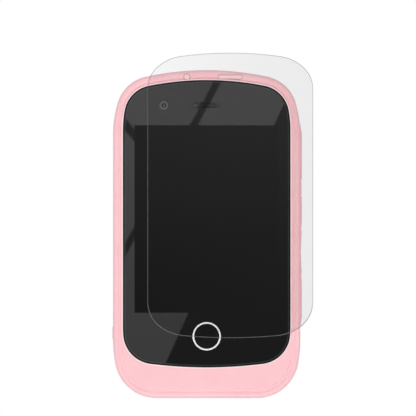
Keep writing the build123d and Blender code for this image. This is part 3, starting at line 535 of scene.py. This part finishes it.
def flat_piece(name, corners, height, material):
    """A level polygon that stages the object and isn't part of it."""
    data = bpy.data.meshes.new(name)
    data.from_pydata([(x, y, height) for x, y in corners], [], [range(len(corners))])
    data.materials.append(material)
    made = bpy.data.objects.new(name, data)
    bpy.context.scene.collection.objects.link(made)
    return made


def glowing(name):
    """A white glow that reflects nothing."""
    material = bpy.data.materials.new(name)
    material.use_nodes = True
    bsdf = material.node_tree.nodes["Principled BSDF"]
    bsdf.inputs["Base Color"].default_value = (0, 0, 0, 1)
    bsdf.inputs["Roughness"].default_value = 1
    bsdf.inputs["Specular IOR Level"].default_value = 0
    bsdf.inputs["Emission Color"].default_value = (1, 1, 1, 1)
    bsdf.inputs["Emission Strength"].default_value = 1
    return material


def card_glow(name):
    """A card's glow, a little stronger towards its upper end."""
    material = glowing(f"card_glow_{name}")
    tree = material.node_tree
    parts = tree.nodes.new("ShaderNodeSeparateXYZ")
    strength = tree.nodes.new("ShaderNodeMapRange")
    levels = [mirrored(0, y)[1] for y in CARD_FADE_MM]
    keys = ("From Min", "From Max", "To Min", "To Max")
    for key, value in zip(keys, (*levels, *CARD_STRENGTH[name])):
        strength.inputs[key].default_value = value
    coordinates = tree.nodes.new("ShaderNodeTexCoord")
    bsdf = tree.nodes["Principled BSDF"]
    tree.links.new(coordinates.outputs["Object"], parts.inputs["Vector"])
    tree.links.new(parts.outputs["Y"], strength.inputs["Value"])
    tree.links.new(strength.outputs["Result"], bsdf.inputs["Emission Strength"])
    return material


def mirrored(x, y):
    """Where on the cards' level the camera sees the point (x, y) mm of the glass reflected."""
    spread = 1 + (CARD_HEIGHT - VIEW_CENTRE.z) / CAMERA_HEIGHT
    centre_x, centre_y, _ = VIEW_CENTRE
    return (centre_x + (x * MM - centre_x) * spread, centre_y + (y * MM - centre_y) * spread)


def crossing(first, second):
    """Where two slanting lines x = start + slope * y meet."""
    y = (second[0] - first[0]) / (first[1] - second[1])
    return (first[0] + first[1] * y, y)


def at(line, y):
    """The point of a slanting line at the height y."""
    return (line[0] + line[1] * y, y)


def light_cards():
    """Slanting cards high above, whose mirror images light the left of the glass."""
    top, bottom, far_left = CARD_REACH_MM, -CARD_REACH_MM, -CARD_REACH_MM
    cards = {
        "wide": [
            at(DIAGONAL, bottom),
            at(DIAGONAL, top),
            at(GAP_RIGHT, top),
            at(GAP_RIGHT, bottom),
        ],
        "corner": [crossing(NOTCH_TOP, GAP_LEFT), at(GAP_LEFT, top), at(NOTCH_TOP, top)],
        "side": [
            at(GAP_LEFT, bottom),
            crossing(NOTCH_BOTTOM, GAP_LEFT),
            at(NOTCH_BOTTOM, top),
            (far_left, top),
            (far_left, bottom),
        ],
    }
    for name, corners in cards.items():
        points = [mirrored(*corner) for corner in corners]
        flat_piece(f"light_card_{name}", points, CARD_HEIGHT, card_glow(name))


def softbox(azimuth, power):
    """A square area light aimed at the phone."""
    name = f"softbox_{azimuth}"
    data = bpy.data.lights.new(name, "AREA")
    data.shape = "SQUARE"
    data.size = SOFTBOX_SIZE
    data.energy = power
    made = bpy.data.objects.new(name, data)
    turn, tilt = math.radians(azimuth), math.radians(SOFTBOX_ELEVATION)
    level = math.cos(tilt)
    away = Vector((math.cos(turn) * level, math.sin(turn) * level, math.sin(tilt)))
    made.location = away * SOFTBOX_DISTANCE
    made.rotation_euler = away.to_track_quat("Z", "Y").to_euler()
    bpy.context.scene.collection.objects.link(made)


def studio():
    """Pale glowing floor, pale horizon that dims towards the zenith, and soft side lights."""
    reach = FLOOR_REACH
    corners = [(-reach, -reach), (reach, -reach), (reach, reach), (-reach, reach)]
    ground = flat_piece("floor", corners, FLOOR_LEVEL, glowing("floor_glow"))
    ground.visible_diffuse = False
    world = bpy.data.worlds.new("studio_air")
    bpy.context.scene.world = world
    world.use_nodes = True
    tree = world.node_tree
    coordinates = tree.nodes.new("ShaderNodeTexCoord")
    parts = tree.nodes.new("ShaderNodeSeparateXYZ")
    height = tree.nodes.new("ShaderNodeMapRange")
    height.inputs["From Min"].default_value = -1
    levels = tree.nodes.new("ShaderNodeValToRGB")
    for _ in range(len(AIR_LEVELS) - 2):
        levels.color_ramp.elements.new(0.5)
    for stop, (position, level) in zip(levels.color_ramp.elements, AIR_LEVELS):
        stop.position = position
        stop.color = (level, level, level, 1)
    tree.links.new(coordinates.outputs["Generated"], parts.inputs["Vector"])
    tree.links.new(parts.outputs["Z"], height.inputs["Value"])
    tree.links.new(height.outputs["Result"], levels.inputs["Fac"])
    tree.links.new(levels.outputs["Color"], tree.nodes["Background"].inputs["Color"])
    for azimuth, power in SOFTBOXES:
        softbox(azimuth, power)


def camera():
    """Straight down on the glass."""
    data = bpy.data.cameras.new("front_camera")
    data.sensor_width = SENSOR_WIDTH
    data.lens = data.sensor_width * CAMERA_HEIGHT / VIEW_WIDTH
    data.clip_start = 0.01
    made = bpy.data.objects.new("front_camera", data)
    made.location = VIEW_CENTRE + Vector((0, 0, CAMERA_HEIGHT))
    bpy.context.scene.collection.objects.link(made)
    bpy.context.scene.camera = made


light_cards()
studio()
camera()
bpy.context.scene.view_settings.view_transform = "Standard"
bpy.context.scene.view_settings.look = "None"
